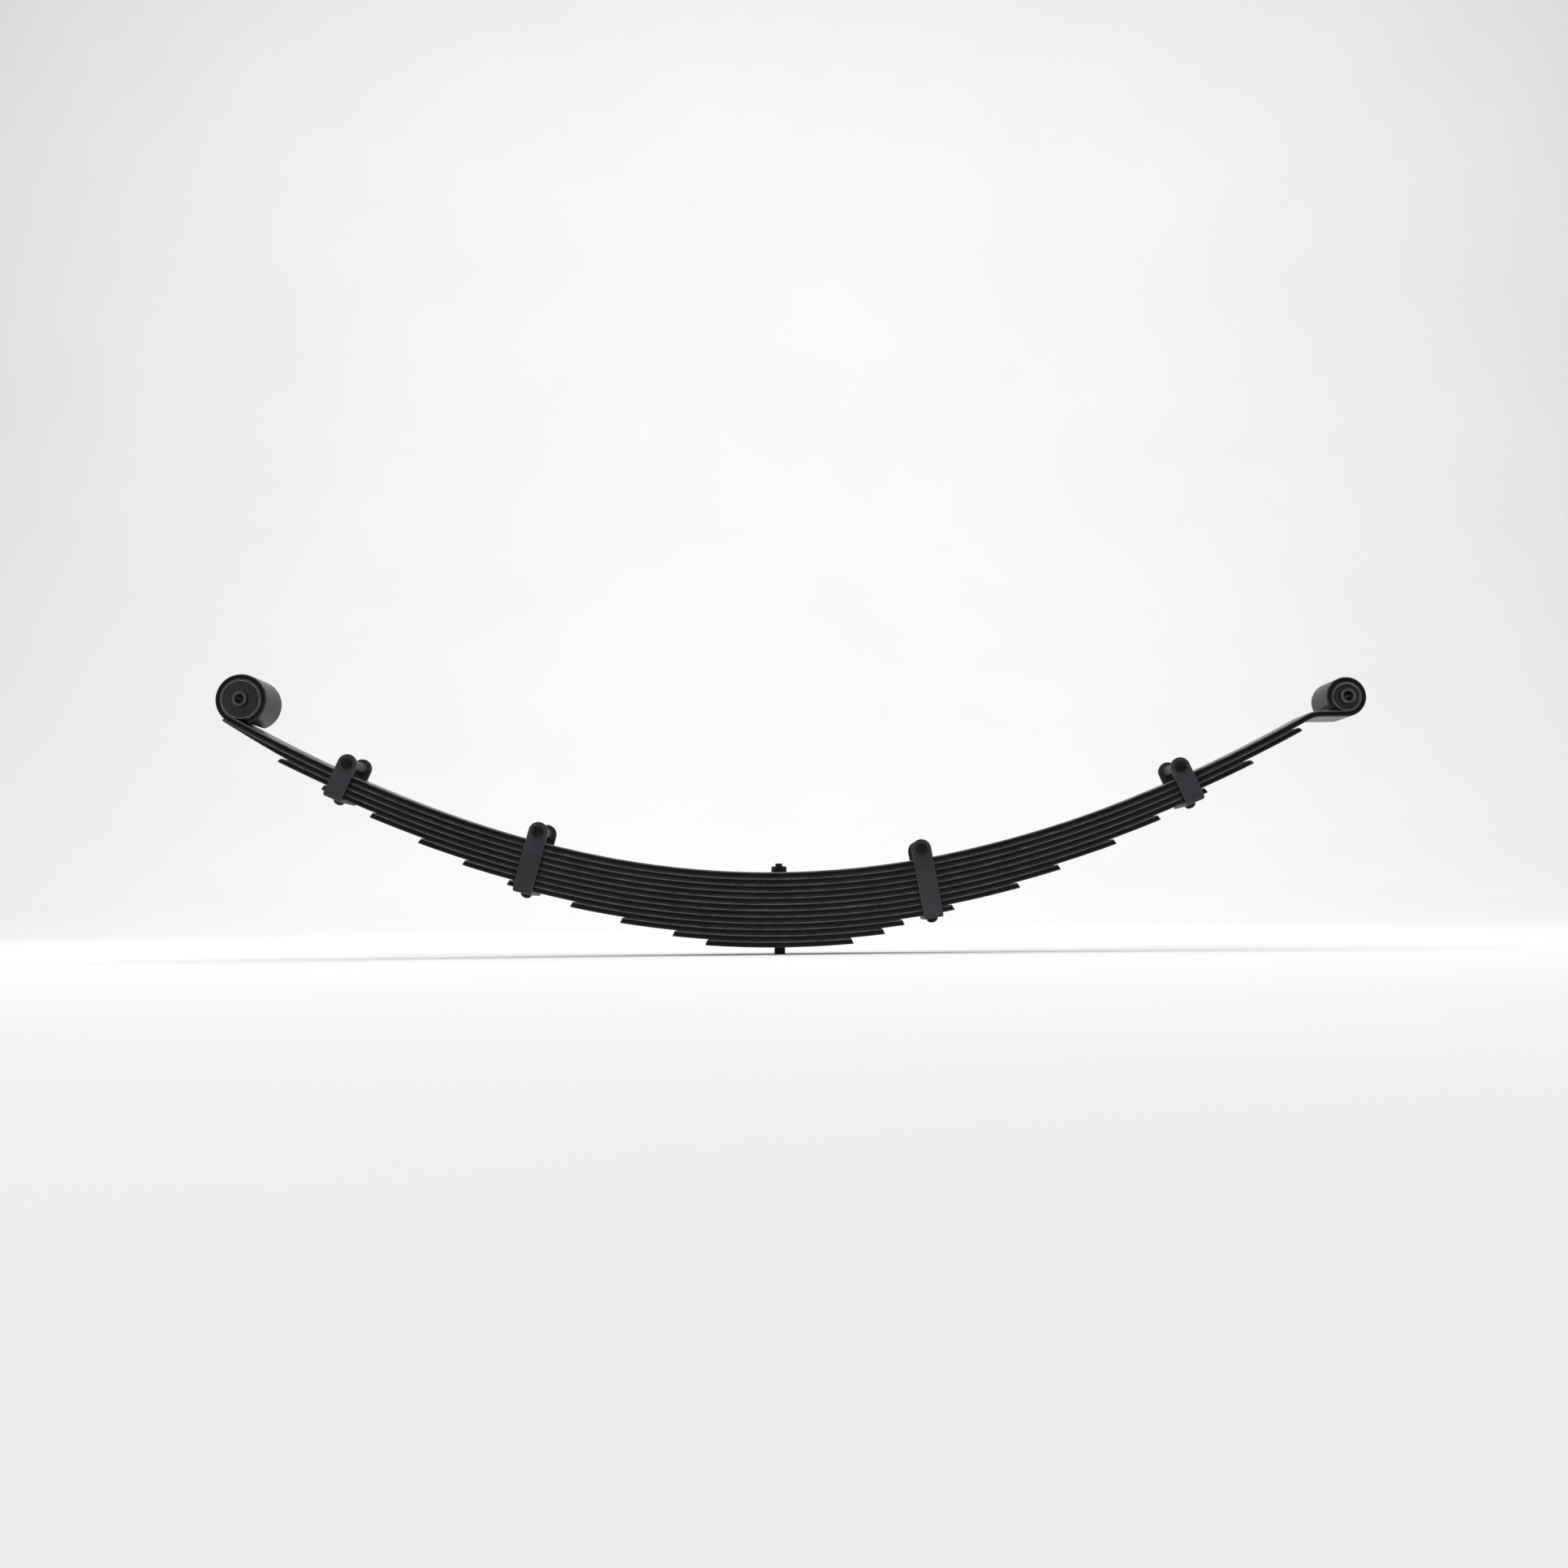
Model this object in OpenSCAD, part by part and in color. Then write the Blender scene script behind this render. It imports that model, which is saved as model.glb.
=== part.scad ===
// Multi-leaf suspension spring with rebound clips, a centre bolt and a rubber bush in each eye.
// Origin: centre bolt axis at the underside of the shortest leaf. +X runs to the rear eye, +Z is up.
// A station is a distance along the top face of the main leaf, measured from the centre bolt.

/* [Leaves] */
// Width of every leaf
leaf_w = 70; // [50:1:90]
// Thickness of one leaf with the film between it and the next
leaf_t = 8; // [6:0.5:10]
// Gap between neighbouring leaves
leaf_gap = 0.05; // [0.02:0.01:0.2]
// Stations where each leaf ends, leaf 3 to leaf 12, towards the front eye
front_ends = [663, 597, 526, 457, 396, 336, 254, 191, 127, 87.5];
// Stations where each leaf ends, leaf 2 to leaf 12, towards the rear eye
rear_ends = [699, 625, 556, 488, 425.5, 350, 296, 212, 150, 125.5, 87.5];
// Length of the relief ground on top of each leaf tip
tip_relief = 13; // [8:1:40]
// Depth of the relief at the tips of the second and third leaf
long_tip_cut = 3; // [0.5:0.1:4]
// Depth of the relief at every other tip
short_tip_cut = 0.8; // [0.2:0.1:4]
// How far the top edge of a tip lies back from its bottom edge
tip_bevel = 2.5; // [0.5:0.1:4]
// Corner trimmed off each leaf tip, seen from above
tip_corner = 5; // [1:0.5:12]

/* [Camber] */
// Top face radius from the centre bolt out to the first change
bend_r1 = 1110; // [900:5:1500]
// Top face radius between the first and the second change
bend_r2 = 1450; // [1100:5:2000]
// Top face radius beyond the second change
bend_r3 = 1920; // [1500:5:3000]
// Station of the first change of radius
bend_s1 = 230; // [150:1:300]
// Station of the second change of radius
bend_s2 = 460; // [350:1:600]

/* [Eyes] */
// Station where the front eye begins to roll
front_eye_s = 742; // [720:1:760]
// Inner radius of the front eye
front_eye_r = 25; // [20:0.5:30]
// Angle that the front eye is rolled through
front_eye_wrap = 312; // [280:1:314]
// Angle that the second leaf follows under the front eye
second_leaf_wrap = 12; // [2:1:40]
// Station where the second leaf begins to taper towards the front eye
second_leaf_taper_s = 655; // [600:1:700]
// Thickness of the second leaf under the front eye
second_leaf_end_t = 3; // [2:0.5:7.5]
// Station where the main leaf bends level for the rear eye
rear_eye_s = 712; // [701:1:720]
// Radius under that bend
rear_bend_r = 30; // [10:1:60]
// Level length between the bend and the rear eye
rear_flat = 33.5; // [30:0.5:60]
// Inner radius of the rear eye
rear_eye_r = 17.5; // [15:0.5:22]
// Angle that the rear eye is rolled through
rear_eye_wrap = 303; // [270:1:306]

/* [Bushes] */
// Wall of the steel shell round each rubber bush
shell_wall = 1.4; // [1:0.1:3]
// Outer radius of both inner sleeves
sleeve_r = 9.5; // [8:0.1:12]
// Bore radius of both inner sleeves
sleeve_bore_r = 6.25; // [5:0.05:7]
// Radial clearance between an inner sleeve and its rubber
sleeve_fit = 0.05; // [0.02:0.01:0.1]
// How far the front inner sleeve stands out on each side
front_sleeve_out = 7; // [2:0.5:12]
// How far the rear inner sleeve stands out on each side
rear_sleeve_out = 9; // [2:0.5:12]
// How far the rubber lies back from the edge of its eye
rubber_inset = 1.5; // [0.5:0.5:4]

/* [Clips] */
// Which way each clip lies: -1 towards the front eye, 1 towards the rear
clip_side = [-1, -1, 1, 1];
// Station of each clip
clip_s = [577, 313.5, 185, 535];
// Leaf that each clip is riveted to
clip_leaf = [4, 8, 9, 4];
// Width of the strap along the leaf
strap_w = 25; // [20:1:32]
// Thickness of the strap
strap_t = 5; // [3:0.5:8]
// Gap between the strap and each side of the leaves
strap_gap = 1; // [0.5:0.1:3]
// Outside bend radius of the strap
strap_bend = 7; // [5:0.5:10]
// Height of the clip bolt above the main leaf
clip_bolt_h = 12; // [11:0.5:16]
// Shank radius of the clip bolt
clip_bolt_r = 4; // [3:0.5:5]
// Radius of the spacer tube round the clip bolt
spacer_r = 7; // [6:0.5:9]
// Shank radius of the rivet
rivet_r = 4; // [3:0.5:5]
// Head radius of the rivet
rivet_head_r = 7.5; // [6:0.5:9]
// Head height of the rivet
rivet_head_h = 6; // [4:0.5:7]

/* [Centre bolt] */
// Shank radius of the centre bolt
centre_bolt_r = 5; // [4:0.5:6]
// Head radius of the centre bolt
centre_head_r = 7; // [6.5:0.5:9]
// Head height of the centre bolt
centre_head_h = 9; // [6:0.5:12]
// Width across the flats of the centre nut
centre_nut_af = 17; // [16:1:19]
// Height of the centre nut
centre_nut_h = 8; // [6:0.5:12]
// Length of bolt that stands out of the centre nut
centre_bolt_out = 3; // [1:0.5:6]

/* [Hidden] */
$fn = 96;
leaf_count = 12;
leaf_body = leaf_t - leaf_gap;
pack_h = leaf_count * leaf_t;
hole_gap = 0.25;
cut = 1;
bolt_head_h = 5.5;
bolt_nut_h = 6.5;
bolt_hex_af = 13;
bolt_out = 2.5;
chamfer = 1;
face_step = 15;
arc_step = 4;
bore_stock = 0.3;
half_strap = leaf_w / 2 + strap_gap;
clips = ["front_outer", "front_inner", "rear_inner", "rear_outer"];
fittings = ["strap", "bolt", "nut", "spacer", "rivet"];

steel = "#2b2c2f";
strap_steel = "#36373b";
bolt_steel = "#3f4044";
rubber = "#17171a";
bare_steel = "#6e7074";

// The three stretches of the main leaf's top face, each an arc that meets the next in line.
function degrees_along(length, radius) = length / radius * 180 / PI;
function up_at(angle) = [-sin(angle), cos(angle)];
function down_at(angle) = [sin(angle), -cos(angle)];
stretch_s = [0, bend_s1, bend_s2, 10000];
stretch_r = [bend_r1, bend_r2, bend_r3];
stretch_a = [
    0,
    degrees_along(bend_s1, bend_r1),
    degrees_along(bend_s1, bend_r1) + degrees_along(bend_s2 - bend_s1, bend_r2)
];
first_centre = [0, pack_h + bend_r1];
second_centre = first_centre + (bend_r2 - bend_r1) * up_at(stretch_a[1]);
third_centre = second_centre + (bend_r3 - bend_r2) * up_at(stretch_a[2]);
stretch_c = [first_centre, second_centre, third_centre];
function stretch_of(s) = s < bend_s1 ? 0 : s < bend_s2 ? 1 : 2;
function slope_in(i, s) = stretch_a[i] + degrees_along(s - stretch_s[i], stretch_r[i]);
function slope_at(s) = slope_in(stretch_of(s), s);
function top_at(s) = stretch_c[stretch_of(s)] - stretch_r[stretch_of(s)] * up_at(slope_at(s));

// Eye centres as [x, z], both on the +X side: the front eye is mirrored into place.
front_eye = top_at(front_eye_s) + front_eye_r * up_at(slope_at(front_eye_s));
rear_bend = top_at(rear_eye_s) - (leaf_body + rear_bend_r) * up_at(slope_at(rear_eye_s));
rear_eye = rear_bend + [rear_flat, rear_bend_r + leaf_body + rear_eye_r];

// Points on a circle round a centre [x, z]. Angles run from straight down towards +X.
function arc_points(centre, radius, from_a, to_a) =
    let (steps = ceil(abs(to_a - from_a) / arc_step))
    [for (i = [0:steps]) centre + radius * down_at(from_a + (to_a - from_a) * i / steps)];
// Points at one depth under the top face, evenly spaced between two stations on the +X side.
function depth_points(depth, from_s, to_s) =
    let (steps = ceil((to_s - from_s) / face_step))
    [for (i = [0:steps])
        let (s = from_s + (to_s - from_s) * i / steps)
        top_at(s) - depth * up_at(slope_at(s))];
function mirrored(points) = [for (p = points) [-p.x, p.y]];
function reversed(points) = [for (i = [len(points) - 1:-1:0]) points[i]];
// A bar's outline, from the lines over and under its front half and its rear half.
function bar_outline(front_over, front_under, rear_over, rear_under) =
    concat(mirrored(reversed(front_over)), rear_over, reversed(rear_under), mirrored(front_under));

// Turns to the front (-1) or to the rear (1).
module facing(side) {
    mirror([side < 0 ? 1 : 0, 0, 0])
        children();
}

// Puts children on the top face at a station, with local +X outwards and local +Z square to the leaf.
module on_leaf(side, s) {
    facing(side)
        translate([top_at(s).x, 0, top_at(s).y])
            rotate([0, -slope_at(s), 0])
                children();
}

// The two faces of leaf n on one half. The top face drops away in the relief at the tip.
function tip_cut(n) = n < 4 ? long_tip_cut : short_tip_cut;
function over_points(n, from_s, end) =
    concat(
        depth_points((n - 1) * leaf_t, from_s, end - tip_relief),
        [top_at(end - tip_bevel) - ((n - 1) * leaf_t + tip_cut(n)) * up_at(slope_at(end - tip_bevel))]
    );
function under_points(n, from_s, end) = depth_points((n - 1) * leaf_t + leaf_body, from_s, end);

// Fills an outline [x, z] across the width of the leaves.
module across_width(points) {
    rotate([90, 0, 0])
        linear_extrude(height = leaf_w, center = true)
            polygon(points);
}

// The two corners that are trimmed off the tip of leaf n.
module trimmed_corners(n) {
    for (y = [-1, 1])
        translate([0, y * leaf_w / 2, -n * leaf_t - cut])
            rotate([0, 0, y * 45])
                translate([-tip_corner / sqrt(2), -2 * tip_corner, 0])
                    cube([2 * tip_corner, 4 * tip_corner, leaf_t + 2 * cut]);
}

module centre_hole() {
    translate([0, 0, -cut])
        cylinder(r = centre_bolt_r + hole_gap, h = pack_h + 4 * cut);
}

// The holes for the rivets of the clips that leaf n carries.
module rivet_holes(n) {
    for (c = [0:3])
        if (clip_leaf[c] == n)
            on_leaf(clip_side[c], clip_s[c])
                translate([0, 0, -n * leaf_t - cut])
                    cylinder(r = rivet_r + leaf_gap, h = leaf_t + 2 * cut);
}

module main_leaf() {
    front_a = slope_at(front_eye_s);
    rear_a = slope_at(rear_eye_s);
    color(steel)
        difference() {
            across_width(bar_outline(
                concat(
                    depth_points(0, face_step, front_eye_s),
                    arc_points(
                        front_eye, front_eye_r - bore_stock,
                        front_a + arc_step, front_a + front_eye_wrap
                    )
                ),
                concat(
                    depth_points(leaf_body, face_step, front_eye_s - 1),
                    arc_points(front_eye, front_eye_r + leaf_body, front_a, front_a + front_eye_wrap)
                ),
                concat(
                    depth_points(0, 0, rear_eye_s - 1),
                    arc_points(rear_bend, rear_bend_r + leaf_body, 180 + rear_a, 180),
                    arc_points(rear_eye, rear_eye_r - bore_stock, arc_step, rear_eye_wrap)
                ),
                concat(
                    depth_points(leaf_body, 0, rear_eye_s - 1),
                    arc_points(rear_bend, rear_bend_r, 180 + rear_a, 180),
                    arc_points(rear_eye, rear_eye_r + leaf_body, 0, rear_eye_wrap)
                )
            ));
            at_eye(front_eye, -1)
                cylinder(r = front_eye_r, h = leaf_w + 2 * cut, center = true);
            at_eye(rear_eye, 1)
                cylinder(r = rear_eye_r, h = leaf_w + 2 * cut, center = true);
            centre_hole();
        }
}

// The underside of the second leaf where it tapers towards the front eye.
function taper_points() =
    let (length = front_eye_s - second_leaf_taper_s, steps = ceil(length / face_step))
    [for (i = [1:steps - 1])
        let (
            s = second_leaf_taper_s + length * i / steps,
            thick = leaf_body + (second_leaf_end_t - leaf_body) * i / steps
        )
        top_at(s) - (leaf_t + thick) * up_at(slope_at(s))];

module second_leaf() {
    front_a = slope_at(front_eye_s);
    curl_r = front_eye_r + leaf_t;
    color(steel)
        difference() {
            across_width(bar_outline(
                concat(
                    depth_points(leaf_t, face_step, front_eye_s - 1),
                    arc_points(front_eye, curl_r, front_a, front_a + second_leaf_wrap)
                ),
                concat(
                    depth_points(leaf_t + leaf_body, face_step, second_leaf_taper_s),
                    taper_points(),
                    arc_points(front_eye, curl_r + second_leaf_end_t, front_a, front_a + second_leaf_wrap)
                ),
                over_points(2, 0, rear_ends[0]),
                under_points(2, 0, rear_ends[0])
            ));
            on_leaf(1, rear_ends[0])
                trimmed_corners(2);
            centre_hole();
        }
}

// Any leaf from the third down.
module short_leaf(n) {
    front_end = front_ends[n - 3];
    rear_end = rear_ends[n - 2];
    color(steel)
        difference() {
            across_width(bar_outline(
                over_points(n, face_step, front_end), under_points(n, face_step, front_end),
                over_points(n, 0, rear_end), under_points(n, 0, rear_end)
            ));
            on_leaf(-1, front_end)
                trimmed_corners(n);
            on_leaf(1, rear_end)
                trimmed_corners(n);
            centre_hole();
            rivet_holes(n);
        }
}

module centre_bolt() {
    color(bolt_steel) {
        translate([0, 0, chamfer - centre_head_h])
            cylinder(r = centre_head_r, h = centre_head_h - chamfer);
        translate([0, 0, -centre_head_h])
            cylinder(r1 = centre_head_r - chamfer, r2 = centre_head_r, h = chamfer);
        cylinder(r = centre_bolt_r, h = pack_h + centre_nut_h + centre_bolt_out);
        translate([0, 0, pack_h + centre_nut_h + centre_bolt_out])
            cylinder(r1 = centre_bolt_r, r2 = centre_bolt_r - chamfer, h = chamfer);
    }
}

// A solid hexagon standing on z = 0, with its top corners turned off.
module hexagon(across, height) {
    intersection() {
        cylinder(d = across * 2 / sqrt(3), h = height, $fn = 6);
        cylinder(d1 = across + 3 * height, d2 = across, h = height);
    }
}

module hex_nut(across, height, bore_r) {
    difference() {
        hexagon(across, height);
        translate([0, 0, -cut])
            cylinder(r = bore_r, h = height + 2 * cut);
    }
}

module centre_nut() {
    color(bolt_steel)
        translate([0, 0, pack_h + 2 * leaf_gap])
            hex_nut(centre_nut_af, centre_nut_h, centre_bolt_r + leaf_gap);
}

// Turns a shaft that points along +Z into one that points along +Y.
module across_leaf(y, h) {
    translate([0, y, h])
        rotate([-90, 0, 0])
            children();
}

// The outline of the bent strap, seen along the leaf.
module strap_outline(bottom, top) {
    outer = half_strap + strap_t;
    difference() {
        union() {
            translate([-outer, bottom + strap_bend])
                square([2 * outer, top - bottom - strap_bend]);
            translate([strap_bend - outer, bottom])
                square([2 * (outer - strap_bend), strap_bend]);
            for (y = [-1, 1])
                translate([y * (outer - strap_bend), bottom + strap_bend])
                    circle(r = strap_bend);
        }
        translate([-half_strap, bottom + strap_t])
            square([2 * half_strap, top - bottom]);
    }
}

module clip_strap(c) {
    bottom = -clip_leaf[c] * leaf_t - strap_t;
    top = clip_bolt_h + strap_w / 2;
    color(strap_steel)
        on_leaf(clip_side[c], clip_s[c])
            difference() {
                intersection() {
                    translate([-strap_w / 2, 0, 0])
                        rotate([90, 0, 90])
                            linear_extrude(height = strap_w)
                                strap_outline(bottom, top);
                    rotate([90, 0, 0])
                        linear_extrude(height = 4 * half_strap, center = true) {
                            translate([-strap_w / 2, bottom])
                                square([strap_w, clip_bolt_h - bottom]);
                            translate([0, clip_bolt_h])
                                circle(d = strap_w);
                        }
                }
                across_leaf(-2 * half_strap, clip_bolt_h)
                    cylinder(r = clip_bolt_r + hole_gap, h = 4 * half_strap);
                translate([0, 0, bottom - cut])
                    cylinder(r = rivet_r + leaf_gap, h = strap_t + 2 * cut);
            }
}

module clip_bolt(c) {
    face = half_strap + strap_t;
    color(bolt_steel)
        on_leaf(clip_side[c], clip_s[c]) {
            across_leaf(-face, clip_bolt_h)
                cylinder(r = clip_bolt_r, h = 2 * face + bolt_nut_h + bolt_out);
            across_leaf(-face, clip_bolt_h)
                mirror([0, 0, 1])
                    hexagon(bolt_hex_af, bolt_head_h);
        }
}

module clip_nut(c) {
    color(bolt_steel)
        on_leaf(clip_side[c], clip_s[c])
            across_leaf(half_strap + strap_t, clip_bolt_h)
                hex_nut(bolt_hex_af, bolt_nut_h, clip_bolt_r + leaf_gap);
}

module clip_spacer(c) {
    color(strap_steel)
        on_leaf(clip_side[c], clip_s[c])
            across_leaf(-half_strap, clip_bolt_h)
                difference() {
                    cylinder(r = spacer_r, h = 2 * half_strap);
                    translate([0, 0, -cut])
                        cylinder(r = clip_bolt_r + hole_gap, h = 2 * half_strap + 2 * cut);
                }
}

module clip_rivet(c) {
    strap_under = -clip_leaf[c] * leaf_t - strap_t;
    dome_r = (pow(rivet_head_r, 2) + pow(rivet_head_h, 2)) / (2 * rivet_head_h);
    color(bolt_steel)
        on_leaf(clip_side[c], clip_s[c])
            translate([0, 0, strap_under]) {
                cylinder(r = rivet_r, h = leaf_t + strap_t - 2 * leaf_gap);
                intersection() {
                    translate([0, 0, dome_r - rivet_head_h])
                        sphere(r = dome_r);
                    translate([0, 0, -2 * rivet_head_h])
                        cylinder(r = 2 * rivet_head_r, h = 2 * rivet_head_h);
                }
            }
}

// Puts children at an eye centre with local +Z along the eye.
module at_eye(eye, side) {
    translate([side * eye.x, 0, eye.y])
        rotate([90, 0, 0])
            children();
}

// A tube centred on its own length.
module tube(outer_r, inner_r, length) {
    difference() {
        cylinder(r = outer_r, h = length, center = true);
        cylinder(r = inner_r, h = length + 2 * cut, center = true);
    }
}

module bush_shell(eye, side, eye_r) {
    color(bare_steel)
        at_eye(eye, side)
            tube(eye_r, eye_r - shell_wall, leaf_w);
}

module bush_rubber(eye, side, eye_r) {
    color(rubber)
        at_eye(eye, side)
            tube(eye_r - shell_wall, sleeve_r + sleeve_fit, leaf_w - 2 * rubber_inset);
}

module bush_sleeve(eye, side, out) {
    color(bare_steel)
        at_eye(eye, side)
            tube(sleeve_r, sleeve_bore_r, leaf_w + 2 * out);
}

main_leaf();
second_leaf();
for (n = [3:leaf_count])
    short_leaf(n);
centre_bolt();
centre_nut();
for (c = [0:3]) {
    clip_strap(c);
    clip_bolt(c);
    clip_nut(c);
    clip_spacer(c);
    clip_rivet(c);
}
bush_shell(front_eye, -1, front_eye_r);  // front_bush_shell
bush_rubber(front_eye, -1, front_eye_r);  // front_bush_rubber
bush_sleeve(front_eye, -1, front_sleeve_out);  // front_bush_sleeve
bush_shell(rear_eye, 1, rear_eye_r);  // rear_bush_shell
bush_rubber(rear_eye, 1, rear_eye_r);  // rear_bush_rubber
bush_sleeve(rear_eye, 1, rear_sleeve_out);  // rear_bush_sleeve
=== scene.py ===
"""Multi-leaf suspension spring: painted leaves, riveted clips, centre bolt and rubber-bushed eyes."""

import math

import bpy
from mathutils import Matrix, Vector


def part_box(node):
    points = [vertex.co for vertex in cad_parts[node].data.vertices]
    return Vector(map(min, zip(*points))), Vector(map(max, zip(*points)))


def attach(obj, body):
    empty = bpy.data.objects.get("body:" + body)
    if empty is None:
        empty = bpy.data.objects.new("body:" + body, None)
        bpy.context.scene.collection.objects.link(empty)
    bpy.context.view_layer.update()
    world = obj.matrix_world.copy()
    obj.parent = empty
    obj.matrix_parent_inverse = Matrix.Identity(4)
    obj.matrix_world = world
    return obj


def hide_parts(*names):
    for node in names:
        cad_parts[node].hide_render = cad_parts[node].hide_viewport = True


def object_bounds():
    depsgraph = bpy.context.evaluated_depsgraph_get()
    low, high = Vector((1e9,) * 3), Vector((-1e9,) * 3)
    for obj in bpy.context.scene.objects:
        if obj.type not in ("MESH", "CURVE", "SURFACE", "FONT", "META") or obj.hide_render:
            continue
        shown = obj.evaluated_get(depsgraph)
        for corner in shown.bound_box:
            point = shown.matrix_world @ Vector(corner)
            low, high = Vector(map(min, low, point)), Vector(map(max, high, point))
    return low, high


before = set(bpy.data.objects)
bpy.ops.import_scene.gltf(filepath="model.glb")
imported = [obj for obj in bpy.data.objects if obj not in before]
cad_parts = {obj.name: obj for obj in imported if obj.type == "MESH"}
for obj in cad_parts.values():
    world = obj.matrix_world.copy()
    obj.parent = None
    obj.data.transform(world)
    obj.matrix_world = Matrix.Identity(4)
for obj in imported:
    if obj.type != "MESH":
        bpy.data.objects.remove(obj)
cad_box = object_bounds()

# ---------------------------------------------------------------- sizes, in metres

LEAF_COUNT = 12
LEAF_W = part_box("leaf_12")[1].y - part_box("leaf_12")[0].y
LEAF_T = 0.008
LEAF_GAP = 0.00005
LEAF_BODY = LEAF_T - LEAF_GAP
PACK_H = LEAF_COUNT * LEAF_T
LEAF_EDGE = 0.0021
FRONT_ENDS = [0.663, 0.597, 0.526, 0.457, 0.396, 0.336, 0.254, 0.191, 0.127, 0.0875]
REAR_ENDS = [0.699, 0.625, 0.556, 0.488, 0.4255, 0.350, 0.296, 0.212, 0.150, 0.1255, 0.0875]
TIP_RELIEF = 0.013
LONG_TIP_CUT = 0.003
SHORT_TIP_CUT = 0.0008
TIP_BEVEL = 0.0025
TIP_ROUND = 0.007
END_SOFTENING = 0.0008

BEND_R = [1.110, 1.450, 1.920]
BEND_S = [0.0, 0.230, 0.460]

FRONT_EYE_S = 0.742
FRONT_EYE_R = 0.025
FRONT_EYE_WRAP = math.radians(312)
SECOND_LEAF_WRAP = math.radians(12)
SECOND_LEAF_TAPER_S = 0.655
SECOND_LEAF_END_T = 0.003
REAR_EYE_S = 0.712
REAR_BEND_R = 0.030
REAR_FLAT = 0.0335
REAR_EYE_R = 0.0175
REAR_EYE_WRAP = math.radians(303)

SHELL_WALL = 0.0014
SLEEVE_R = 0.0095
SLEEVE_BORE_R = 0.00625
SLEEVE_FIT = 0.00006
SLEEVE_TEETH = 30
SLEEVE_TOOTH_DEPTH = 0.0005
FRONT_SLEEVE_OUT = 0.007
REAR_SLEEVE_OUT = 0.009
RUBBER_INSET = 0.0015
RUBBER_DISH = 0.0016

CLIPS = {
    "front_outer": (-0.577, 4),
    "front_inner": (-0.3135, 8),
    "rear_inner": (0.185, 9),
    "rear_outer": (0.535, 4),
}
STRAP_W = 0.025
STRAP_T = 0.005
STRAP_GAP = 0.001
STRAP_BEND = 0.007
STRAP_EDGE = 0.0009
STRAP_EDGE_STEPS = 4
CLIP_BOLT_H = 0.012
CLIP_BOLT_R = 0.004
SPACER_R = 0.007
CLIP_HEX = 0.013
CLIP_HEAD_H = 0.0055
CLIP_NUT_H = 0.0065
CLIP_BOLT_OUT = 0.0025
CLIP_PITCH = 0.00125
CLIP_THREAD_DEPTH = 0.0006
RIVET_HEAD_R = 0.0075
RIVET_HEAD_H = 0.006
STRAP_FACE = LEAF_W / 2 + STRAP_GAP + STRAP_T

CENTRE_BOLT_R = 0.005
CENTRE_HEAD_R = 0.007
CENTRE_HEAD_H = 0.009
CENTRE_NUT_HEX = 0.017
CENTRE_NUT_H = 0.008
CENTRE_BOLT_OUT = 0.003
CENTRE_PITCH = 0.0015
CENTRE_THREAD_DEPTH = 0.0008

THREAD_CHAMFER = 0.0008
THREAD_INSIDE_NUT = 0.001
HEX_STEPS = 12
HEX_CONE_START = 0.97
HEX_CONE_SLOPE = 0.6
HEX_TOP = 0.95

Y = Vector((0, 1, 0))

# ---------------------------------------------------------------- the curve of the leaves

BEND_A = [
    0.0,
    BEND_S[1] / BEND_R[0],
    BEND_S[1] / BEND_R[0] + (BEND_S[2] - BEND_S[1]) / BEND_R[1],
]


def up_at(angle):
    """The direction square to a leaf that rises towards +X at this angle."""
    return Vector((-math.sin(angle), 0, math.cos(angle)))


BEND_C = [Vector((0, 0, PACK_H + BEND_R[0]))]
for bend in (1, 2):
    BEND_C.append(BEND_C[-1] + (BEND_R[bend] - BEND_R[bend - 1]) * up_at(BEND_A[bend]))


class Spot:
    """A place on a face: its point, the way along and the way up, both in the XZ plane."""

    def __init__(self, point, along, up):
        self.point, self.along, self.up = point, along, up

    def lowered(self, depth):
        return Spot(self.point - self.up * depth, self.along, self.up)

    def matrix(self):
        """Local X along the leaf, Y across it and Z square to it."""
        axes = Matrix((self.along, Y, self.up)).transposed()
        return Matrix.Translation(self.point) @ axes.to_4x4()


def turned(angle, point):
    """A spot whose leaf rises towards +X at this angle."""
    return Spot(point, Vector((math.cos(angle), 0, math.sin(angle))), up_at(angle))


def slope_at(s):
    """Which of the three bends a station is on, and the slope of the leaf there."""
    bend = 0 if s < BEND_S[1] else 1 if s < BEND_S[2] else 2
    return bend, BEND_A[bend] + (s - BEND_S[bend]) / BEND_R[bend]


def top_spot(s):
    """The top face of the main leaf at a station: below 0 towards the front eye, above 0 towards the rear."""
    bend, angle = slope_at(abs(s))
    point = BEND_C[bend] - BEND_R[bend] * up_at(angle)
    if s < 0:
        point.x = -point.x
        angle = -angle
    return turned(angle, point)


def arc_spots(centre, radius, start, end, side=-1):
    """Spots round a centre, at most 3 degrees apart, from angle 0 below it, or above it if side is 1."""
    steps = max(2, math.ceil(abs(end - start) / math.radians(3)))
    found = []
    for i in range(steps + 1):
        angle = start + (end - start) * i / steps
        found.append(turned(angle, centre + up_at(angle) * radius * side))
    return found


front_eye = top_spot(-FRONT_EYE_S)
FRONT_EYE = front_eye.point + front_eye.up * FRONT_EYE_R
rear_eye_start = top_spot(REAR_EYE_S)
REAR_BEND = rear_eye_start.point - rear_eye_start.up * (LEAF_BODY + REAR_BEND_R)
REAR_EYE = REAR_BEND + Vector((REAR_FLAT, 0, REAR_BEND_R + LEAF_BODY + REAR_EYE_R))

# ---------------------------------------------------------------- mesh helpers


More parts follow.
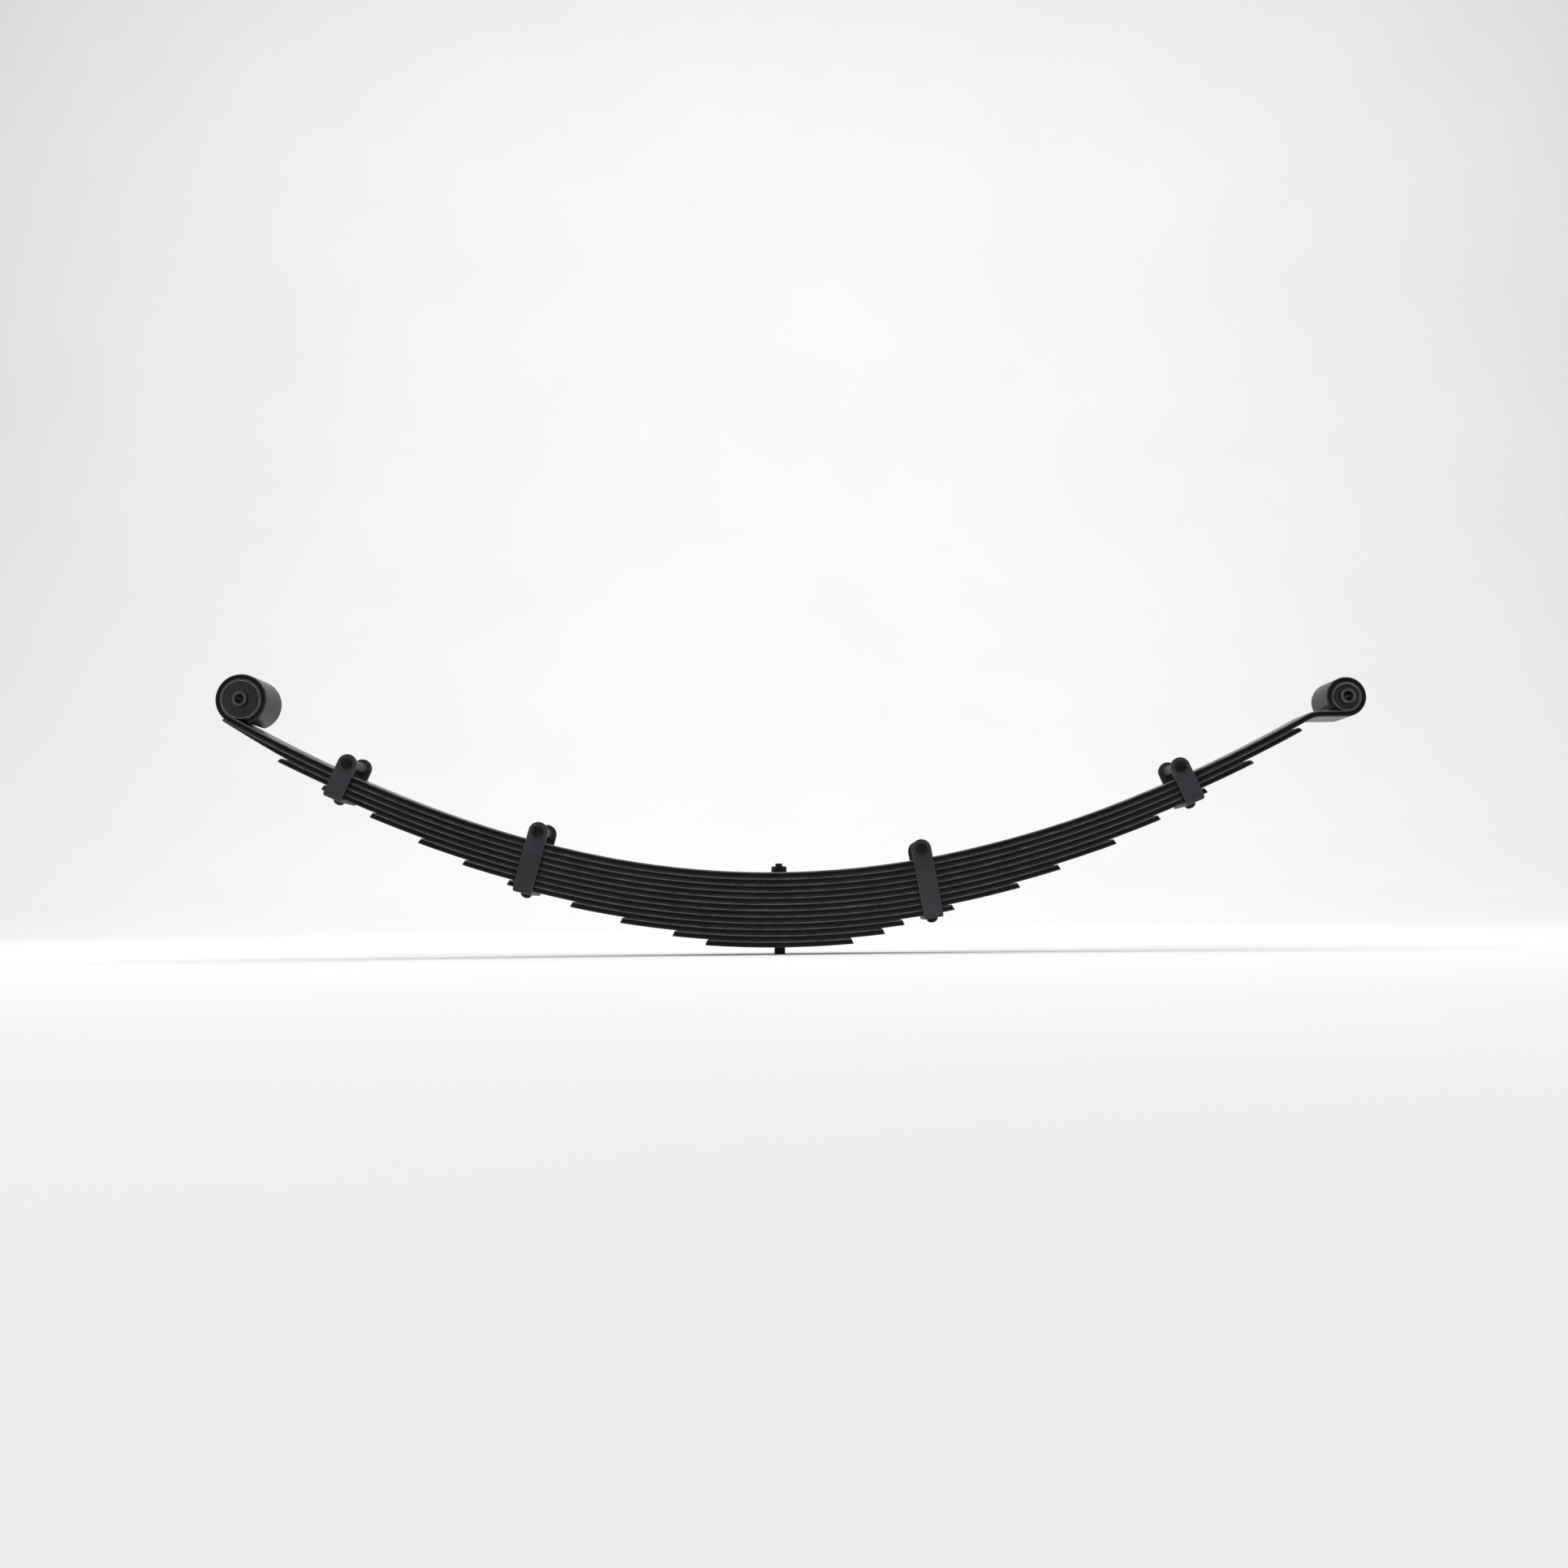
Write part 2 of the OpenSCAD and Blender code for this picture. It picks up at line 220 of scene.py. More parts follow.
def add_mesh(name, points, faces, material, smooth_angle=35):
    """A smooth shaded object, with sharp edges where faces meet at more than smooth_angle degrees."""
    mesh = bpy.data.meshes.new(name)
    mesh.from_pydata([tuple(p) for p in points], [], faces)
    mesh.validate()
    mesh.shade_smooth()
    piece = bpy.data.objects.new(name, mesh)
    bpy.context.scene.collection.objects.link(piece)
    piece.data.materials.append(material)
    mesh.set_sharp_from_angle(angle=math.radians(smooth_angle))
    return piece


def joined(name, parts, material, smooth_angle=35):
    """One piece out of several (points, faces) lists."""
    points = []
    faces = []
    for part_points, part_faces in parts:
        first = len(points)
        points += part_points
        faces += [[first + i for i in face] for face in part_faces]
    return add_mesh(name, points, faces, material, smooth_angle)


def mark_edges(piece, ring_size, weights):
    """Stores how much each point is lightened: edge wear, and on the leaves' top edges a painted highlight
    too. The rings all have the same points, so the weights repeat.
    """
    wear_and_highlight = piece.data.attributes.new("wear_and_highlight", "FLOAT", "POINT")
    wear_and_highlight.data.foreach_set("value", [weights[i % ring_size] for i in range(len(piece.data.vertices))])


def skin(rings, closed=False):
    """Points and faces of a surface through equal rings, which ends in caps or joins up with itself."""
    count = len(rings[0])
    points = [p for ring in rings for p in ring]
    faces = []
    spans = len(rings) if closed else len(rings) - 1
    for i in range(spans):
        a = i * count
        b = (i + 1) % len(rings) * count
        for j in range(count):
            k = (j + 1) % count
            faces.append([a + j, a + k, b + k, b + j])
    if not closed:
        last = (len(rings) - 1) * count
        faces.append(list(range(count))[::-1])
        faces.append([last + j for j in range(count)])
    return points, faces


def rounded_bar(half_w, low, high, edge, steps=5):
    """The outline of a bar, as (across, up) pairs, with rounded edges."""
    edge = max(1e-5, min(edge, half_w * 0.98, (high - low) * 0.49))
    corners = [
        (half_w - edge, high - edge, 0),
        (-half_w + edge, high - edge, 90),
        (-half_w + edge, low + edge, 180),
        (half_w - edge, low + edge, 270),
    ]
    outline = []
    for across, up, start in corners:
        for i in range(steps + 1):
            angle = math.radians(start + 90 * i / steps)
            outline.append((across + edge * math.cos(angle), up + edge * math.sin(angle)))
    return outline


def bar_wear_and_highlight(over, under, steps=5):
    """Weights round the outline of rounded_bar for edge wear and a painted highlight: high on its corners,
    none on its flats.
    """
    corner = [math.sin(math.pi * min(i, steps - i) / steps) ** 0.7 for i in range(steps + 1)]
    return [over * w for w in corner] * 2 + [under * w for w in corner] * 2


def bar_ring(spot, half_w, low, high, edge):
    """The outline of a bar, square to the way along at a spot."""
    return [spot.point + Y * a + spot.up * u for a, u in rounded_bar(half_w, low, high, edge)]


def lathe(profile, turns, wave=None, closed=False):
    """Turns an (r, z) outline round local Z. wave(angle, r, z) can shift a point's r and z.

    A closed outline makes a ring. An open one is closed with a flat at each end, round a point on the axis.
    """
    points = []
    for i in range(turns):
        angle = 2 * math.pi * i / turns
        for r, z in profile:
            if wave:
                r, z = wave(angle, r, z)
            points.append(Vector((r * math.cos(angle), r * math.sin(angle), z)))
    count = len(profile)
    faces = []
    for i in range(turns):
        a = i * count
        b = (i + 1) % turns * count
        for j in range(count if closed else count - 1):
            k = (j + 1) % count
            faces.append([a + j, b + j, b + k, a + k])
        if not closed:
            faces.append([b, a, turns * count])
            faces.append([a + count - 1, b + count - 1, turns * count + 1])
    if not closed:
        points += [Vector((0, 0, profile[0][1])), Vector((0, 0, profile[-1][1]))]
    return points, faces


def mirrored(outline):
    """The closed outline of a tube, from its half above z = 0, which runs from the bore out to z = 0."""
    return [(r, -z) for r, z in outline] + [(r, z) for r, z in reversed(outline)][1:]


def moved(part, matrix):
    """A part, as points and faces, put through a matrix."""
    points, faces = part
    return [matrix @ p for p in points], faces


def hexagon(across, height):
    """Rings of a hexagon head on z = 0 whose top corners are turned off by a shallow cone."""
    flat_r = across / 2
    count = 6 * HEX_STEPS
    angles = [2 * math.pi * i / count for i in range(count)]
    rings = []
    for level, scale in ((0, HEX_CONE_START), (0.06, 1), (0.5, 1), (1, 1)):
        ring = []
        for angle in angles:
            off = (angle + math.pi / 6) % (math.pi / 3) - math.pi / 6
            r = flat_r / math.cos(off) * scale
            drop = max(0, r - flat_r * HEX_CONE_START) * HEX_CONE_SLOPE if level == 1 else 0
            ring.append(Vector((r * math.cos(angle), r * math.sin(angle), height * level - drop)))
        rings.append(ring)
    top_r = flat_r * HEX_TOP
    rings.append([Vector((top_r * math.cos(angle), top_r * math.sin(angle), height)) for angle in angles])
    return rings


def hex_head(across, height):
    """A hexagon head with a slightly dished top."""
    rings = hexagon(across, height)
    rim = rings[-1]
    for scale, sink in ((0.80, 0.0001), (0.74, 0.0004), (0.35, 0.0005)):
        rings.append([Vector((p.x * scale, p.y * scale, height - sink)) for p in rim])
    return skin(rings)


def hex_nut(across, height, bore_r):
    """A hexagon nut: the faces run up the outside, over the top, down the bore and back underneath."""
    rings = hexagon(across, height)
    rim = rings[-1]
    rim_r = across / 2 * HEX_TOP
    mouth_r = bore_r * 1.16
    mouth_depth = bore_r * 0.14
    for r, z in ((mouth_r, height), (bore_r, height - mouth_depth), (bore_r, mouth_depth), (mouth_r, 0)):
        rings.append([Vector((p.x / rim_r * r, p.y / rim_r * r, z)) for p in rim])
    return skin(rings, closed=True)


def thread_profile(radius, pitch, start, end):
    """A rod's outline from start to end, with a chamfered end, fine enough for a thread."""
    steps = max(6, int((end - start) / pitch * 8))
    outline = [(radius, start + (end - start) * i / steps) for i in range(steps + 1)]
    return outline + [(radius - 0.0009, end + THREAD_CHAMFER)]


def thread_wave(pitch, depth, start, end):
    """A helix cut into the rod between start and end, for lathe."""
    def wave(angle, r, z):
        if z <= start or z > end:
            return r, z
        turn = (z / pitch - angle / (2 * math.pi)) % 1
        cut = abs(turn - 0.5) * 2
        fade = min(1, (z - start) / pitch, (end - z) / (0.5 * pitch) + 0.2)
        return r - depth * cut * fade, z
    return wave


# ---------------------------------------------------------------- materials


class Paint:
    """A small helper that adds nodes to one material and links them."""

    def __init__(self, name):
        self.material = bpy.data.materials.new(name)
        self.material.use_nodes = True
        self.tree = self.material.node_tree
        self.shader = self.tree.nodes["Principled BSDF"]
        self.where = self.tree.nodes.new("ShaderNodeTexCoord").outputs["Object"]

    def add(self, kind, **sockets):
        """A node whose named inputs are linked to a socket or set to a value."""
        node = self.tree.nodes.new(kind)
        for key, value in sockets.items():
            name = key.replace("_", " ")
            if isinstance(value, bpy.types.NodeSocket):
                self.tree.links.new(value, node.inputs[name])
            else:
                node.inputs[name].default_value = value
        return node

    def noise(self, scale, detail=4.0, rough=0.55, where=None):
        node = self.add("ShaderNodeTexNoise", Scale=scale, Detail=detail, Roughness=rough)
        self.tree.links.new(where or self.where, node.inputs["Vector"])
        return node.outputs["Fac"]

    def ramp(self, value, *stops):
        """A colour ramp of (place, colour or grey) stops."""
        node = self.tree.nodes.new("ShaderNodeValToRGB")
        self.tree.links.new(value, node.inputs["Fac"])
        elements = node.color_ramp.elements
        while len(elements) < len(stops):
            elements.new(0.5)
        for element, (place, colour) in zip(elements, stops):
            element.position = place
            if isinstance(colour, (int, float)):
                colour = (colour, colour, colour)
            element.color = (*colour, 1)
        return node.outputs["Color"]

    def mix(self, factor, a, b):
        """A blend of two colours, each a socket or three numbers."""
        node = self.tree.nodes.new("ShaderNodeMix")
        node.data_type = "RGBA"
        for socket, value in ((node.inputs[0], factor), (node.inputs[6], a), (node.inputs[7], b)):
            if isinstance(value, bpy.types.NodeSocket):
                self.tree.links.new(value, socket)
            elif isinstance(value, (int, float)):
                socket.default_value = value
            else:
                socket.default_value = (*value, 1)
        return node.outputs[2]

    def multiply(self, a, b):
        node = self.tree.nodes.new("ShaderNodeMath")
        node.operation = "MULTIPLY"
        self.tree.links.new(a, node.inputs[0])
        self.tree.links.new(b, node.inputs[1])
        return node.outputs[0]

    def bump(self, *layers):
        """Stacks (height, strength, distance) bumps and feeds the shader's normal."""
        normal = None
        for height, strength, distance in layers:
            node = self.add("ShaderNodeBump", Strength=strength, Distance=distance, Height=height)
            if normal:
                self.tree.links.new(normal, node.inputs["Normal"])
            normal = node.outputs["Normal"]
        self.tree.links.new(normal, self.shader.inputs["Normal"])

    def set(self, **sockets):
        """Links or sets the shader's own inputs."""
        for key, value in sockets.items():
            socket = self.shader.inputs[key.replace("_", " ")]
            if isinstance(value, bpy.types.NodeSocket):
                self.tree.links.new(value, socket)
            else:
                socket.default_value = value


def facing_up(paint):
    """1 on faces that look up, 0 on walls and undersides."""
    geometry = paint.tree.nodes.new("ShaderNodeNewGeometry")
    split = paint.tree.nodes.new("ShaderNodeSeparateXYZ")
    paint.tree.links.new(geometry.outputs["Normal"], split.inputs["Vector"])
    return paint.ramp(split.outputs["Z"], (0.35, 0.0), (0.95, 1.0))


def black_paint(name, dark, light, wear_and_highlight, gloss, scale):
    """Sprayed black enamel over rolled steel: mottled colour and gloss, orange peel, dust on faces that look
    up, and edges lightened by wear and a painted highlight.
    """
    paint = Paint(name)
    broad = paint.noise(9 * scale, 5)
    fine = paint.noise(210 * scale, 6, 0.6)
    peel = paint.noise(1500, 2)
    marks = paint.noise(75 * scale, 8, 0.65)
    colour = paint.mix(paint.ramp(broad, (0.35, 0.0), (0.68, 1.0)), dark, light)
    colour = paint.mix(paint.ramp(fine, (0.60, 0.0), (0.74, 0.08)), colour, wear_and_highlight)
    settled = paint.multiply(facing_up(paint), paint.ramp(marks, (0.40, 0.05), (0.70, 0.40)))
    colour = paint.mix(settled, colour, wear_and_highlight)
    edges = paint.add("ShaderNodeAttribute")
    edges.attribute_name = "wear_and_highlight"
    # Marked edges are lightened towards the third colour: wear, and on the leaves' top edges a painted
    # highlight.
    rubbed_and_highlight = paint.multiply(edges.outputs["Fac"], paint.ramp(marks, (0.30, 0.45), (0.62, 1.0)))
    colour = paint.mix(rubbed_and_highlight, colour, wear_and_highlight)
    rough = paint.ramp(paint.mix(0.5, broad, fine), (0.36, gloss[0]), (0.62, gloss[1]))
    paint.set(Base_Color=colour, Roughness=rough, Specular_IOR_Level=0.10)
    paint.bump((marks, 0.22, 0.0005), (fine, 0.15, 0.0002), (peel, 0.10, 0.0001))
    return paint.material


def rubber_material(name):
    """Moulded black rubber with a faint bloom and fine grain."""
    paint = Paint(name)
    bloom = paint.noise(60, 6, 0.6)
    grain = paint.noise(1800, 3)
    paint.set(
        Base_Color=paint.ramp(bloom, (0.35, (0.011, 0.011, 0.012)), (0.70, (0.024, 0.024, 0.025))),
        Roughness=paint.ramp(grain, (0.3, 0.62), (0.7, 0.80)),
        Specular_IOR_Level=0.35,
    )
    paint.bump((bloom, 0.15, 0.0004), (grain, 0.25, 0.0001))
    return paint.material


def steel_material(name, dark, light, gloss):
    """Turned steel: fine rings, a little stain and slightly uneven gloss."""
    paint = Paint(name)
    stain = paint.noise(120, 6, 0.6)
    stretch = paint.add("ShaderNodeMapping", Vector=paint.where, Scale=(0.15, 5.0, 0.15))
    lines = paint.noise(700, 3, 0.5, stretch.outputs["Vector"])
    paint.set(
        Base_Color=paint.ramp(stain, (0.35, dark), (0.72, light)),
        Roughness=paint.ramp(lines, (0.3, gloss), (0.7, gloss + 0.16)),
        Metallic=0.85,
    )
    paint.bump((stain, 0.12, 0.0003), (lines, 0.15, 0.0001))
    return paint.material


# The third colour lightens the leaves' edges: wear, and along the top edges a painted highlight.
LEAF_PAINT = black_paint(
    "leaf_paint", (0.0030, 0.0030, 0.0035), (0.0060, 0.0060, 0.0068), (0.140, 0.140, 0.143), (0.23, 0.38), 1.0
)
STRAP_PAINT = black_paint(
    "strap_paint", (0.032, 0.032, 0.037), (0.054, 0.054, 0.061), (0.110, 0.110, 0.116), (0.36, 0.52), 1.4
)
FASTENER_PAINT = black_paint(
    "fastener_paint", (0.005, 0.005, 0.006), (0.012, 0.012, 0.014), (0.070, 0.070, 0.073), (0.22, 0.38), 2.0
)
SHELL_STEEL = steel_material("shell_steel", (0.12, 0.12, 0.125), (0.30, 0.30, 0.305), 0.34)
SLEEVE_STEEL = steel_material("sleeve_steel", (0.045, 0.045, 0.048), (0.12, 0.12, 0.124), 0.40)
RUBBER = rubber_material("rubber")

# ---------------------------------------------------------------- leaves


def spread(start, end, step=0.009):
    """Even steps from start to end, none longer than step."""
    count = max(1, math.ceil(abs(end - start) / step))
    return [start + (end - start) * i / count for i in range(count + 1)]


# Distances from a tip at which its rings lie
TIP_STEPS = [0.026, 0.020, 0.016, 0.013, 0.010, 0.0075, 0.0055, 0.004, 0.0028, 0.0018, 0.0010, 0.0004, 0.0]


def tip_half_width(to_end):
    """Half the width near a tip whose corners are rounded off, seen from above."""
    if to_end >= TIP_ROUND:
        return LEAF_W / 2
    inset = TIP_ROUND - math.sqrt(TIP_ROUND ** 2 - (TIP_ROUND - to_end) ** 2)
    return LEAF_W / 2 - inset


def tip_relief(number, to_end):
    """How far the top of a leaf is ground away near its tip."""
    cut = LONG_TIP_CUT if number <= 3 else SHORT_TIP_CUT
    return cut * max(0, 1 - to_end / TIP_RELIEF) ** 1.2


def leaned_ring(spot, half_w, low, high, edge, lean):
    """A ring whose top lies back from its bottom by `lean` along the leaf."""
    ring = []
    for across, up in rounded_bar(half_w, low, high, edge):
        back = lean * (up - low) / (high - low)
        ring.append(spot.point + Y * across + spot.up * up + spot.along * back)
    return ring


def leaf_rings(number, start, end, front_tip, rear_tip):
    """Rings of leaf `number` between two stations, shaped at each end that is a plain tip."""
    depth = (number - 1) * LEAF_T
    stations = spread(start + (TIP_STEPS[0] if front_tip else 0), end - (TIP_STEPS[0] if rear_tip else 0))
    if front_tip:
        stations = [start + t for t in TIP_STEPS[::-1]][:-1] + stations
    if rear_tip:
        stations = stations + [end - t for t in TIP_STEPS][1:]
    rings = []
    for s in stations:
        front_gap = s - start if front_tip else 1
        rear_gap = end - s if rear_tip else 1
        to_end = min(front_gap, rear_gap)
        lean = TIP_BEVEL * max(0, 1 - to_end / (3 * TIP_BEVEL)) ** 2
        if rear_gap < front_gap:
            lean = -lean
        spot = top_spot(s).lowered(depth)
        low = -second_leaf_thickness(s) if number == 2 else -LEAF_BODY
        high = -tip_relief(number, to_end)
        rings.append(leaned_ring(spot, tip_half_width(to_end), low, high, LEAF_EDGE, lean))
    if front_tip:
        rings = [drawn_in(rings[0])] + rings
    if rear_tip:
        rings = rings + [drawn_in(rings[-1])]
    return rings


def second_leaf_thickness(s):
    """The second leaf thins from its underside towards the front eye."""
    part = (-s - SECOND_LEAF_TAPER_S) / (FRONT_EYE_S - SECOND_LEAF_TAPER_S)
    return LEAF_BODY + (SECOND_LEAF_END_T - LEAF_BODY) * min(1, max(0, part))


def drawn_in(ring):
    """The same ring made smaller all round, for the flat of a softened end."""
    middle = sum(ring, Vector()) / len(ring)
    return [p + (middle - p).normalized() * END_SOFTENING for p in ring]


def wrap_rings(spots, thickness=LEAF_BODY):
    """Rings along a rolled end, the last one drawn in where the bar was cut."""
    rings = [bar_ring(spot, LEAF_W / 2, -thickness, 0, LEAF_EDGE) for spot in spots]
    return rings + [drawn_in(rings[-1])]


def leaf_piece(name, rings):
    """A leaf through rings, lightened most along its top edges by wear and a painted highlight."""
    piece = joined(name, [skin(rings)], LEAF_PAINT)
    # Top edges weighted 1.0 and bottom edges 0.25: a painted highlight along the top edges, with wear.
    mark_edges(piece, len(rings[0]), bar_wear_and_highlight(1.0, 0.25))
    return piece


def main_leaf():
    """The rolled front eye, the long curve, the reverse bend and flat, and the rolled rear eye."""
    front_angle = -slope_at(FRONT_EYE_S)[1]
    front = arc_spots(FRONT_EYE, FRONT_EYE_R, front_angle, front_angle - FRONT_EYE_WRAP)
    rear_angle = slope_at(REAR_EYE_S)[1]
    bend = arc_spots(REAR_BEND, REAR_BEND_R + LEAF_BODY, rear_angle, 0, side=1)
    rear = arc_spots(REAR_EYE, REAR_EYE_R, 0, REAR_EYE_WRAP)
    flat = [turned(0, bend[-1].point.lerp(rear[0].point, t)) for t in (0.33, 0.67)]
    rings = wrap_rings(front[1:])[::-1]
    rings += leaf_rings(1, -FRONT_EYE_S, REAR_EYE_S, False, False)
    rings += wrap_rings(bend[1:] + flat + rear)
    return leaf_piece("main_leaf_detail", rings)


def second_leaf():
    """Curled a little way under the front eye, with a plain tip at the rear."""
    front_angle = -slope_at(FRONT_EYE_S)[1]
    curl = arc_spots(FRONT_EYE, FRONT_EYE_R + LEAF_T, front_angle, front_angle - SECOND_LEAF_WRAP)
    rings = wrap_rings(curl[1:], SECOND_LEAF_END_T)[::-1]
    rings += leaf_rings(2, -FRONT_EYE_S, REAR_ENDS[0], False, True)
    return leaf_piece("second_leaf_detail", rings)


def short_leaf(number):
    """A leaf with a plain tip at each end. FRONT_ENDS starts at leaf 3 and REAR_ENDS at leaf 2."""
    rings = leaf_rings(number, -FRONT_ENDS[number - 3], REAR_ENDS[number - 2], True, True)
    return leaf_piece(f"leaf_{number}_detail", rings)


def keep(piece, node, body="leaf_pack"):
    """Puts a detailed piece in place of its CAD node."""
    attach(piece, body)
    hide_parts(node)
    weighted = piece.modifiers.new("even_shading", "WEIGHTED_NORMAL")
    weighted.keep_sharp = True


keep(main_leaf(), "main_leaf")
keep(second_leaf(), "second_leaf")
for leaf_number in range(3, LEAF_COUNT + 1):
    keep(short_leaf(leaf_number), f"leaf_{leaf_number}")

# ---------------------------------------------------------------- clips

# Turns local Z to +Y, across the leaves
ACROSS = Matrix.Rotation(math.radians(-90), 4, "X")
# Distances from the top of a strap's round ear at which its rings lie
EAR_STEPS = (0, 0.0004, 0.0012, 0.0025, 0.0045, 0.007, 0.0095, STRAP_W / 2)


def strap_path(bottom, top):
    """The middle line of a U strap, from its +Y ear down, across and up to its -Y ear, as (y, z, angle)."""
    mid = STRAP_FACE - STRAP_T / 2
    bend_r = STRAP_BEND - STRAP_T / 2
    low = bottom + STRAP_T / 2
    side = [top - t for t in EAR_STEPS]
    side += spread(top - STRAP_W / 2 - 0.004, low + bend_r, 0.012)
    left = [(-mid, z, -math.pi / 2) for z in side]
    corner = []
    for i in range(1, 9):
        angle = math.radians(90 * i / 8)
        corner.append((
            -mid + bend_r - bend_r * math.cos(angle),
            low + bend_r - bend_r * math.sin(angle),
            -math.pi / 2 + angle,
        ))
    half = left + corner + [(-mid * 0.4, low, 0)]
    return [(-y, z, -angle) for y, z, angle in half] + half[::-1]


def strap(name, station, leaf):
    """A U strap round the leaves down to number `leaf`, with round ears above them."""
    spot = top_spot(station)
    top = CLIP_BOLT_H + STRAP_W / 2
    rings = []
    for y, z, angle in strap_path(-leaf * LEAF_T - STRAP_T, top):
        drop = top - z
        reach = max(0, STRAP_W / 2 - drop)
        half_w = max(0.0006, math.sqrt(max(0, (STRAP_W / 2) ** 2 - reach ** 2)))
        square = Vector((0, -math.sin(angle), math.cos(angle)))
        ring = []
        for along, out in rounded_bar(half_w, -STRAP_T / 2, STRAP_T / 2, STRAP_EDGE, STRAP_EDGE_STEPS):
            ring.append(Vector((along, y, z)) + square * out)
        rings.append(ring)
    piece = joined(f"{name}_strap_detail", [moved(skin(rings), spot.matrix())], STRAP_PAINT, 40)
    mark_edges(piece, len(rings[0]), bar_wear_and_highlight(0.45, 0.45, STRAP_EDGE_STEPS))
    return piece


def clip_place(station):
    """Local Z along the clip's bolt, towards +Y, from the middle of the leaves."""
    return top_spot(station).matrix() @ Matrix.Translation((0, 0, CLIP_BOLT_H)) @ ACROSS


def clip_bolt(name, station):
    """A hexagon head on the -Y side, and a shank that ends in thread beyond the nut."""
    start = STRAP_FACE + CLIP_NUT_H - THREAD_INSIDE_NUT
    end = STRAP_FACE + CLIP_NUT_H + CLIP_BOLT_OUT - THREAD_CHAMFER
    place = clip_place(station)
    outline = [(CLIP_BOLT_R, -STRAP_FACE)] + thread_profile(CLIP_BOLT_R, CLIP_PITCH, start, end)
    shank = lathe(outline, 48, thread_wave(CLIP_PITCH, CLIP_THREAD_DEPTH, start, end))
    head = moved(
        hex_head(CLIP_HEX, CLIP_HEAD_H),
        Matrix.Translation((0, 0, -STRAP_FACE)) @ Matrix.Rotation(math.pi, 4, "X"),
    )
    return joined(f"{name}_bolt_detail", [moved(shank, place), moved(head, place)], FASTENER_PAINT, 32)


def clip_nut(name, station):
    """A hexagon nut on the +Y side, turned a little as if tightened by hand."""
    spin = Matrix.Rotation(math.radians(11), 4, "Z")
    place = clip_place(station) @ Matrix.Translation((0, 0, STRAP_FACE)) @ spin
    nut = hex_nut(CLIP_HEX, CLIP_NUT_H, CLIP_BOLT_R)
    return joined(f"{name}_nut_detail", [moved(nut, place)], FASTENER_PAINT, 32)


def clip_spacer(name, station):
    """The tube on the clip's bolt, between the strap's ears."""
    half = LEAF_W / 2 + STRAP_GAP
    edge = 0.0006
    bore = CLIP_BOLT_R + 0.0004
    outline = [
        (bore, -half), (SPACER_R - edge, -half), (SPACER_R, -half + edge),
        (SPACER_R, half - edge), (SPACER_R - edge, half), (bore, half),
    ]
    part = moved(lathe(outline, 48, closed=True), clip_place(station))
    return joined(f"{name}_spacer_detail", [part], STRAP_PAINT)


def clip_rivet(name, station, leaf):
    """A hammered dome under the strap, with a thin squeezed-out rim."""
    under = -leaf * LEAF_T - STRAP_T
    dome = []
    for i in range(1, 13):
        angle = math.radians(90 * i / 12)
        dome.append((RIVET_HEAD_R * math.sin(angle) ** 0.9, -RIVET_HEAD_H * math.cos(angle)))
    dome[-1] = (RIVET_HEAD_R, -0.0006)
    dome.append((RIVET_HEAD_R - 0.0003, 0))

    def hammered(angle, r, z):
        dent = 0.00012 * math.sin(3 * angle + r * 900) + 0.00008 * math.sin(7 * angle + 1.3)
        return r, z + dent * (r / RIVET_HEAD_R) * (1 if z < -0.001 else 0)

    place = top_spot(station).matrix() @ Matrix.Translation((0, 0, under))
    return joined(f"{name}_rivet_detail", [moved(lathe(dome, 40, hammered), place)], FASTENER_PAINT)


for clip, (clip_station, clip_leaf) in CLIPS.items():
    keep(strap(clip, clip_station, clip_leaf), f"{clip}_strap")
    keep(clip_bolt(clip, clip_station), f"{clip}_bolt")
    keep(clip_nut(clip, clip_station), f"{clip}_nut")
    keep(clip_spacer(clip, clip_station), f"{clip}_spacer")
    keep(clip_rivet(clip, clip_station, clip_leaf), f"{clip}_rivet")

# ---------------------------------------------------------------- centre bolt


def centre_bolt():
    """A turned cylindrical head under the pack, with thread above the nut."""
    start = PACK_H + CENTRE_NUT_H - THREAD_INSIDE_NUT
    end = PACK_H + CENTRE_NUT_H + CENTRE_BOLT_OUT
    r = CENTRE_HEAD_R
    low = -CENTRE_HEAD_H
    outline = [
        (r * 0.55, low + 0.0002), (r * 0.60, low), (r - 0.0011, low),
        (r - 0.0003, low + 0.0004), (r, low + 0.0011), (r, -0.0005), (r - 0.0005, 0), (CENTRE_BOLT_R, 0),
    ]
    outline += thread_profile(CENTRE_BOLT_R, CENTRE_PITCH, start, end)
    bolt = lathe(outline, 56, thread_wave(CENTRE_PITCH, CENTRE_THREAD_DEPTH, start, end))
    return joined("centre_bolt_detail", [bolt], FASTENER_PAINT, 32)


def centre_nut():
    """A hexagon nut on top of the pack, with a flat facing each side of the spring."""
    place = Matrix.Translation((0, 0, PACK_H + 2 * LEAF_GAP)) @ Matrix.Rotation(math.radians(30), 4, "Z")
    nut = hex_nut(CENTRE_NUT_HEX, CENTRE_NUT_H, CENTRE_BOLT_R)
    return joined("centre_nut_detail", [moved(nut, place)], FASTENER_PAINT, 32)


keep(centre_bolt(), "centre_bolt")
keep(centre_nut(), "centre_nut")

# ---------------------------------------------------------------- bushes


def at_eye(centre):
    """Local Z along the eye, towards +Y."""
    return Matrix.Translation(centre) @ ACROSS


def bush_shell(name, centre, eye_r):
    """A thin steel tube pressed into the eye, with rounded ends."""
    half = LEAF_W / 2
    inner = eye_r - SHELL_WALL
    outline = [
        (inner, half - 0.0008), (inner + 0.0003, half - 0.0001), (inner + 0.0006, half),
        (eye_r - 0.0005, half), (eye_r - 0.0001, half - 0.0004), (eye_r - 0.0001, 0.0),
    ]
    part = moved(lathe(mirrored(outline), 96, closed=True), at_eye(centre))
    return joined(f"{name}_bush_shell_detail", [part], SHELL_STEEL)


